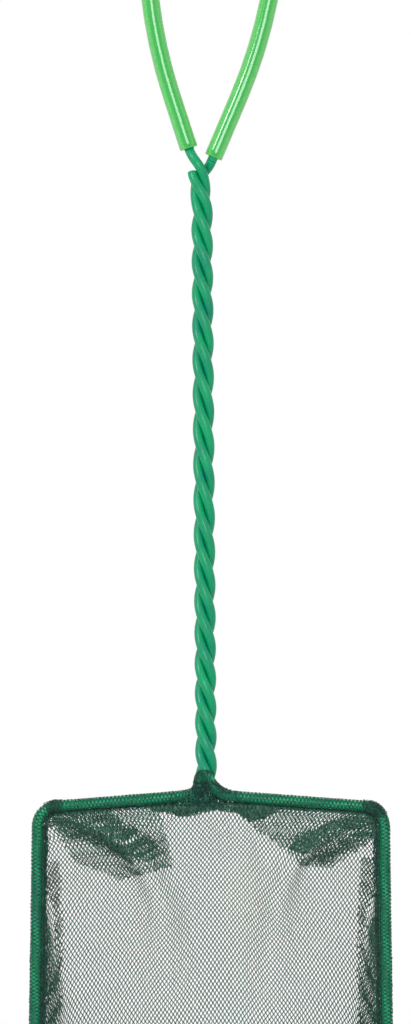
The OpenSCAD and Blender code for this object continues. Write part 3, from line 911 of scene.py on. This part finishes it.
sheet_piece("net_upper_left", 1, -BEYOND, 0, "bag_upper_panel", 21)
sheet_piece("net_upper_right", 1, 0, BEYOND, "bag_upper_panel", 22)
sheet_piece("net_lower_left", -1, -BEYOND, 0, "bag_lower_panel", 23)
sheet_piece("net_lower_right", -1, 0, BEYOND, "bag_lower_panel", 24)


# hem round the wire
def wrapped_threads(line, wrap, seed, uneven=0.08):
    """Threads that go round a line: a knitted cloth pulled tight over a wire."""
    radius, pitch, rows, yarn_r, skew = wrap
    p = spaced(line, FINE_STEP)
    _, a, b = frames_along(p)
    d = lengths_along(p)
    columns = np.arange(1, int(d[-1] / pitch)) * pitch
    row, end = zigzag(rows)
    turn = 2 * np.pi * (row + end * 0.9) / (rows - 0.5)
    rng = np.random.default_rng(seed)
    pts, nrm = [], []
    for kind in (1, -1):
        s = columns[:, None] + kind * (row % 2)[None] * pitch / 2
        s = s + kind * np.where(row % 2, -1, 1)[None] * yarn_r * CROSS_SHARE
        s = s + skew * (turn / (2 * np.pi) - 0.5)[None]
        s = np.clip(s + rng.normal(0, 0.05, s.shape), 0, d[-1])
        c = sampled(s, d, p)
        w = turn[None, :, None] + 0.5
        n = unit(sampled(s, d, a) * np.cos(w) + sampled(s, d, b) * np.sin(w))
        r = radius + uneven * smooth_noise((c + n * 2).reshape(-1, 3), 5, seed).reshape(s.shape)
        r = r + kind * np.where(end > 0, 1, -1)[None] * 0.04
        pts.append(c + n * r[..., None])
        nrm.append(n)
    return threads_mesh(pts, nrm, yarn_r)


# wraps: radius, pitch, rows in a turn, radius of the yarn, skew
HEM_WRAPS = ((1.77, 1.3, 9, 0.1, 1.6), (1.91, 1.22, 9, 0.085, -1.4))
CORNER_WRAPS = ((2.08, 0.8, 8, 0.12, 2.6), (2.25, 0.8, 8, 0.12, -2.4))
NECK_WRAP, NECK_OVER = (1.79, 1.3, 9, 0.1, 1.6), (1.95, 1.2, 9, 0.1, -2.0)
hem = [wrapped_threads(HOOP_LINE, wrap, 31 + k) for k, wrap in enumerate(HEM_WRAPS)]
piece("hem_wrap", hem, HEM_YARN, "net_mesh", "hoop_hem")

# the hem's cloth overlaps at both upper corners: from and to in pixels of the front view, seed
CORNER_SPANS = ((362, 382, 47), (46, 64, 48))
CORNER_LOW = 820
parts = []
route = spaced(HOOP_LINE, FINE_STEP)
for first, last, seed in CORNER_SPANS:
    x, z = route[:, 0], route[:, 2]
    span = route[(x > x_of(first)) & (x < x_of(last)) & (z > z_of(CORNER_LOW))]
    for k, wrap in enumerate(CORNER_WRAPS):
        parts.append(wrapped_threads(span, wrap, seed + 10 * k, 0.25))
piece("hem_corners", parts, HEM_DARK, "net_mesh")

NECK_FROM, NECK_POINTS, NECK_BEYOND = 0.12, 30, np.linspace(0.4, 3.2, 8)
for name, phase, side, node, seed in (
    ("neck_wrap_left", RIGHT_PHASE, -1, "neck_hem_left", 41),
    ("neck_wrap_right", TAIL_PHASE, 1, "neck_hem_right", 43),
):
    line = neck_curve(phase, side, NECK_POINTS, NECK_FROM)
    line = np.concatenate([line, line[-1] + NECK_BEYOND[:, None] * in_space(bar_dir(side))])
    layers = [wrapped_threads(line, NECK_WRAP, seed), wrapped_threads(line, NECK_OVER, seed + 1, 0.12)]
    piece(name, layers, HEM_YARN, "net_mesh", node)


# cloth gathered at the neck and at the edges
def gathered(rows, columns, place, yarn_r, seed):
    """Threads on a surface given by place(across, down), both from 0 to 1, closed round."""
    row, end = zigzag(rows)
    rng = np.random.default_rng(seed)
    pts, nrm = [], []
    for kind in (1, -1):
        x = (np.arange(columns)[:, None] + kind * (row % 2)[None] * 0.5) / columns
        y = np.broadcast_to((row + end * 0.8)[None] / (rows - 1), x.shape)
        x = x + rng.normal(0, 0.004, x.shape)
        p = place(x, y)
        e = 1e-3
        n = unit(np.cross(place(x + e, y) - p, place(x, y + e) - p))
        pts.append(p + rng.normal(0, 0.05, p.shape))
        nrm.append(n)
    return threads_mesh(pts, nrm, yarn_r)


# front view of the cloth at the neck: heights, and its left and right edges there
NECK_Z = np.array([-303.6, -304.2, -304.9, -306.2, -307.8, -309.5, -310.5, -311.5])
NECK_LEFT = np.array([-5.5, -6.1, -6.6, -7.0, -7.3, -7.4, -8.0, -9.2])
NECK_RIGHT = np.array([-1.1, -0.9, -0.8, -0.7, 0.3, 2.1, 4.0, 5.5])
NECK_WIRES = np.concatenate([LEFT_LINE, RIGHT_LINE, TAIL_LINE])
NECK_MIDDLE = np.array([-3.6, 0, 0])
DEPTH_Z = np.linspace(-302, -318, 33)
# rows, columns and yarn of each layer
COLLAR_LAYERS = ((8, 20, 0.12), (7, 17, 0.19))


def wire_reach(z, way):
    """How far the wires reach to the front (-1) or back (1) at one height."""
    rise = NECK_WIRES[:, 2] - z
    near = np.abs(rise) < WIRE_R
    if not near.any():
        return 0.0
    return float(np.max(way * NECK_WIRES[near, 1] + np.sqrt(WIRE_R**2 - rise[near] ** 2)))


REACH = {way: np.array([wire_reach(z, way) for z in DEPTH_Z]) for way in (-1, 1)}


def at_height(z, heights, column):
    return np.interp(-z, -heights, column)


def collar_place(layer):
    """The gathered cloth round the handle's foot: a bag that widens into the two top bars."""

    def place(x, y):
        y = np.clip(y, 0, 1)
        w = 2 * np.pi * x + 0.4 * layer
        z = NECK_Z[0] + y * (NECK_Z[-1] - NECK_Z[0])
        left, right = at_height(z, NECK_Z, NECK_LEFT), at_height(z, NECK_Z, NECK_RIGHT)
        c, s = np.cos(w), np.sin(w)
        grow = 0.12 * layer + 0.14 * np.sin(w * 8 + layer * 2 + 4 * y) * ease(y / 0.2)
        front, back = at_height(z, DEPTH_Z, REACH[-1]), at_height(z, DEPTH_Z, REACH[1])
        deep = np.where(s < 0, front, back) + 0.2 + grow
        px = (left + right) / 2 + ((right - left) / 2 + grow - 0.1) * np.sign(c) * np.abs(c) ** 0.8
        py = deep * np.sign(s) * np.abs(s) ** 0.75
        return np.stack([px, py, z + 0.25 * np.sin(w * 3 + layer)], -1)

    return place


parts = []
for k, (rows, count, yarn_r) in enumerate(COLLAR_LAYERS):
    parts.append(gathered(rows, count, collar_place(k), yarn_r, 51 + k))
piece("neck_gather", parts, NECK_YARN, "net_mesh", "neck_collar")

# cloth between the two bends, in front and behind, down to the bag's edge
FLAP_Z = np.array([-308.4, -309.8, -311.2, -312.6, -314.0, -315.4])
FLAP_LEFT = np.array([-6.9, -7.6, -8.4, -9.4, -10.8, -12.6])
FLAP_RIGHT = np.array([-2.2, -1.8, -1.2, -0.2, 1.2, 3.0])
FLAP_DEPTH = np.array([3.6, 3.3, 2.8, 2.2, 1.6, 1.1])
FLAP_LAYERS, FLAP_ROWS, FLAP_COLUMNS, FLAP_YARN = ((-1, 3), (1, 2)), 8, 7, 0.17


def flap_place(face, layer):
    def place(x, y):
        y = np.clip(y, 0, 1)
        z = FLAP_Z[0] + y * (FLAP_Z[-1] - FLAP_Z[0])
        left, right = at_height(z, FLAP_Z, FLAP_LEFT), at_height(z, FLAP_Z, FLAP_RIGHT)
        bulge = np.sin(np.pi * np.clip(x, 0, 1))
        deep = at_height(z, FLAP_Z, FLAP_DEPTH) * (0.6 + 0.4 * np.sqrt(bulge))
        pleat = 0.3 * np.sin(x * 26 + layer * 2 + y * 5) * bulge + 0.3 * layer
        return np.stack([left + (right - left) * x, face * (deep + pleat), z - 0.4 * bulge * y], -1)

    return place


parts = []
for face, layers in FLAP_LAYERS:
    for k in range(layers):
        seed = 61 + 3 * k + face
        parts.append(gathered(FLAP_ROWS, FLAP_COLUMNS + k, flap_place(face, k), FLAP_YARN, seed))
# gathered cloth under both bends, down to where the bag's own sheet lies alone, in pixels
BAND_X = np.array([136, 150, 165, 187, 196, 210, 219, 226, 238, 249, 262, 276])
BAND_TOP = np.array([803, 801, 799, 794, 789, 788, 788, 790, 794, 798, 802, 805])
BAND_LOW = np.array([806, 808.5, 812.5, 816.5, 814.5, 810.5, 810, 811.5, 814, 822, 821, 812])
BAND_LAYERS, BAND_ROWS, BAND_COLUMNS, BAND_YARN = 6, 5, 31, 0.18


def band_place(layer):
    def place(x, y):
        px = np.interp(x, (0, 1), (BAND_X[0], BAND_X[-1]))
        top, low = np.interp(px, BAND_X, BAND_TOP), np.interp(px, BAND_X, BAND_LOW)
        down = np.clip(y, 0, 1) * (low - top + 1.2 * np.sin(px * 0.21 + 2 * layer)) * MM_PER_PX
        pleat = 0.25 * np.sin(px * 0.33 + layer * 2)
        z = z_of(top - 1.3 * (layer % 3)) - down
        return np.stack([x_of(px), 0.28 * layer - 0.6 + 0.3 * down + pleat, z], -1)

    return place


for k in range(BAND_LAYERS):
    count = BAND_COLUMNS + 3 * (k % 4)
    parts.append(gathered(BAND_ROWS, count, band_place(k), BAND_YARN, 121 + k))
piece("neck_web", parts, NECK_YARN, "net_mesh")


# hem allowance inside the hoop
ALLOWANCE_FROM, ALLOWANCE_REACH, ALLOWANCE_YARN = 1.85, 1.9, 0.15


def allowance_place(layer):
    """The free edge of the hem: it leans inwards and back from the line of stitches."""
    line = spaced(HOOP_LINE, FINE_STEP)
    inward = inward_of(line)
    d = lengths_along(line)
    lean = 0.85 - 0.25 * layer

    def place(x, y):
        s = np.clip(x, 0, 1) * d[-1]
        n = unit(sampled(s, d, inward))
        reach = ALLOWANCE_REACH + 0.3 * np.sin(s * 0.11 + layer) + 0.15 * np.sin(s * 0.43)
        # it is narrower under the top bars
        reach = reach * (1 - 0.5 * np.clip(-n[..., 2], 0, 1))
        wave = 0.35 * np.sin(s * 0.31 + 2 * layer) * y + 0.2 * np.sin(s * 0.9 + layer) * y
        p = sampled(s, d, line) + n * (ALLOWANCE_FROM + lean * reach * y)[..., None]
        p[..., 1] += 0.3 + 0.3 * layer + (1 - lean**2) ** 0.5 * reach * y + wave
        return p

    return place, int(d[-1] / PITCH)


parts = []
for layer in range(2):
    place, count = allowance_place(layer)
    parts.append(gathered(3, count + 5 * layer, place, ALLOWANCE_YARN, 91 + layer))
piece("hem_allowance", parts, HEM_DARK, "net_mesh")


# threads
ROD_SIDES, SEWN_SIDES = 8, 6
TURNS_FROM, TURNS_TO, NECK_TURNS, TURN_POINTS, TURN_LIFT = 0.5, 0.66, 3, 30, 0.2
TURN_THREAD, KNOT_THREAD, TAIL_THREAD = 0.14, 0.2, 0.13
# knots: place in the front view and radius; tails: place and run in the front view
KNOTS = (
    (-4.2, -308.6, 0.5),
    (-3.6, -309.5, 0.45),
    (-5.6, -310.6, 0.55),
    (-4.6, -311.9, 0.5),
    (-6.8, -309.4, 0.4),
)
TAILS = ((-4.2, -308.6, -1.6, -2.6), (-3.6, -309.5, 0.9, -2.4), (-5.6, -310.6, -1.2, -1.8))


def neck_turns():
    """A thread wound round the gathered cloth, between two heights of it."""
    w = np.linspace(0, 1, NECK_TURNS * TURN_POINTS)
    inner = collar_place(0)(w * NECK_TURNS % 1, TURNS_FROM + (TURNS_TO - TURNS_FROM) * w)
    return inner + unit((inner - NECK_MIDDLE) * [1, 1, 0]) * TURN_LIFT


def front_at(z):
    """How far the cloth at the neck comes to the front at one height."""
    flap = at_height(z, FLAP_Z, FLAP_DEPTH) + 0.9
    return -max(at_height(z, DEPTH_Z, REACH[-1]) + 0.45, flap)


parts = [rod_mesh(neck_turns(), TURN_THREAD, ROD_SIDES, (0, 0, 1))]
w = np.linspace(0, 2 * np.pi, 22)
for k, (x, z, r) in enumerate(KNOTS):
    y = front_at(z) - 0.5 + 0.08 * k
    for turn in range(2):
        high = r * np.sin(w) * (0.8 + 0.3 * turn)
        loop = np.stack([r * np.cos(w + turn), 0.2 * np.sin(2 * w + k + turn), high], -1)
        parts.append(rod_mesh(np.array([x, y, z]) + loop, KNOT_THREAD, ROD_SIDES))
t = np.linspace(0, 1, 10)[:, None]
for x, z, dx, dz in TAILS:
    start = np.array([x, front_at(z) - 0.35, z])
    tail = start + t * np.array([dx, 0.9, dz]) + np.array([0.25, -0.15, 0]) * np.sin(t * 5)
    parts.append(rod_mesh(tail, TAIL_THREAD, ROD_SIDES))
piece("neck_binding", parts, SEWING, "sewing_thread", "neck_thread")

# running stitches inside the hoop: each one arches up through the cloth and back
STITCH_FROM, STITCH_PITCH, STITCH_LEN, STITCH_POINTS = 3.0, 2.9, 2.1, 7
STITCH_INSET, STITCH_ARCH, STITCH_Y, STITCH_THREAD = MOUTH_INSET + 0.35, 0.3, -0.25, 0.2
line = spaced(HOOP_LINE, 0.4)
inward = inward_of(line)
d = lengths_along(line)
arch = STITCH_ARCH * np.sin(np.linspace(0, np.pi, STITCH_POINTS))[:, None]
rng = np.random.default_rng(71)
parts = []
at = STITCH_FROM
while at + STITCH_LEN < d[-1] - 2:
    s = np.linspace(at, at + STITCH_LEN, STITCH_POINTS)
    n = unit(sampled(s, d, inward))
    q = sampled(s, d, line) + n * (STITCH_INSET + arch + rng.normal(0, 0.08))
    q[:, 1] += STITCH_Y + rng.normal(0, 0.1)
    parts.append(rod_mesh(q, STITCH_THREAD, SEWN_SIDES))
    at += STITCH_PITCH + rng.normal(0, 0.12)
piece("hem_sewing", parts, SEWING, "sewing_thread", "hem_stitches")


# seam of the two panels
left, right = UPPER[2:, 0], UPPER[2:, -1][::-1]
SEAM = spaced(np.concatenate([left[:-1], UPPER[-1], right[1:]]), 0.7)
FLANGE_WIDE, FLANGE_ROWS, FLANGE_YARN = 3.2, 4, 0.16
SEAM_FROM, SEAM_PITCH, SEAM_LEN, SEAM_POINTS, SEAM_THREAD = 1.0, 2.6, 2.0, 6, 0.17
d = lengths_along(SEAM)
along = unit(np.gradient(SEAM, axis=0))
outward = SEAM - np.array([HOOP_X, BAG_DEPTH * 0.35, MOUTH_Z - 12])
outward[:, 2] *= 0.3
outward = unit(outward - along * (outward * along).sum(1)[:, None])
flat_way = unit(np.cross(along, outward))


def seam_at(s):
    """The seam's points, and its directions outward and across the flange."""
    return sampled(s, d, SEAM), sampled(s, d, outward), sampled(s, d, flat_way)


def flange_place(face):
    def place(x, y):
        s = np.clip(x, 0, 1) * d[-1]
        c, o, n = seam_at(s)
        ruffle = 0.5 * np.sin(s * 0.9) * y + 0.3 * np.sin(s * 0.37 + 1) * y
        thick = face * 0.25 * (1 + y) + ruffle
        return c + o * (FLANGE_WIDE * y - 0.3)[..., None] + n * thick[..., None]

    return place


count = int(d[-1] / PITCH)
parts = [
    gathered(FLANGE_ROWS, count, flange_place(face), FLANGE_YARN, 81 + face) for face in (-1, 1)
]
piece("seam_edge", parts, NET_YARN, "net_mesh", "bag_seam")
arch = 0.25 * np.sin(np.linspace(0, np.pi, SEAM_POINTS))[:, None]
parts = []
at = SEAM_FROM
while at + SEAM_LEN < d[-1]:
    c, o, n = seam_at(np.linspace(at, at + SEAM_LEN, SEAM_POINTS))
    parts.append(rod_mesh(c + o * 0.6 + n * (0.35 + arch), SEAM_THREAD, SEWN_SIDES, (0, 0, 1)))
    at += SEAM_PITCH
piece("seam_sewing", parts, SEWING, "sewing_thread")


# light, floor, background: lamps have a place, a target, a size and a power in metres and watts
LAMPS = (
    ("key", (-0.9, -1.1, 0.55), (0, 0, -0.2), 0.48, 8),
    ("front", (0.15, -1.6, -0.1), (0, 0, -0.25), 0.8, 9),
    ("back", (0.3, 1.2, 0.5), (0, 0, -0.2), 0.9, 3),
)
for name, place, target, size, power in LAMPS:
    data = bpy.data.lights.new(name, "AREA")
    data.shape = "DISK"
    data.size = size
    data.energy = power
    obj = add_object(name, data)
    obj.location = place
    obj.rotation_mode = "QUATERNION"
    obj.rotation_quaternion = (Vector(target) - Vector(place)).to_track_quat("-Z", "Y")

world = bpy.data.worlds.new("world")
bpy.context.scene.world = world
world.use_nodes = True
nodes = world.node_tree.nodes
nodes.clear()
path = add_node(nodes, "LightPath").outputs
rays = {0: path["Is Transmission Ray"], 1: path["Is Glossy Ray"]}
mirrored = add_node(nodes, "Math", rays, "MAXIMUM").outputs[0]
seen = add_node(nodes, "Math", {0: path["Is Camera Ray"], 1: mirrored}, "MAXIMUM").outputs[0]
white = add_node(nodes, "Background", {"Color": (1, 1, 1, 1)}).outputs[0]
soft = add_node(nodes, "Background", {"Color": (0.95, 0.97, 1.0, 1), "Strength": 0.6}).outputs[0]
mix = add_node(nodes, "MixShader", {0: seen, 1: soft, 2: white}).outputs[0]
add_node(nodes, "OutputWorld", {"Surface": mix})

# a pale round floor below the hanging net, which fades out at its rim
FLOOR_Z, FLOOR_R, FADE_FROM, FLOOR_SIDES = -0.475, 0.42, 0.2, 96
w = np.linspace(0, 2 * np.pi, FLOOR_SIDES + 1)[:-1]
rim = np.stack([FLOOR_R * np.cos(w), FLOOR_R * np.sin(w), w * 0 + FLOOR_Z], -1) / MM
m, nodes, shader = material("floor", 0.8)
shader.inputs["Base Color"].default_value = (0.86, 0.86, 0.86, 1)
where = add_node(nodes, "TexCoord").outputs["Object"]
flat = add_node(nodes, "VectorMath", {0: where, 1: (1, 1, 0)}, "MULTIPLY").outputs[0]
away = add_node(nodes, "VectorMath", {0: flat}, "LENGTH").outputs["Value"]
fade = add_node(nodes, "MapRange", {"From Min": FADE_FROM, "From Max": FLOOR_R, "Value": away})
fade.interpolation_type = "SMOOTHSTEP"
clear = add_node(nodes, "BsdfTransparent").outputs[0]
ways = {0: fade.outputs["Result"], 1: shader.outputs[0], 2: clear}
blend = add_node(nodes, "MixShader", ways).outputs[0]
set_inputs(nodes["Material Output"], {"Surface": blend})
floor = add_mesh("floor", rim, [np.arange(FLOOR_SIDES)[None]], m, False)

bpy.context.scene.view_settings.view_transform = "Standard"
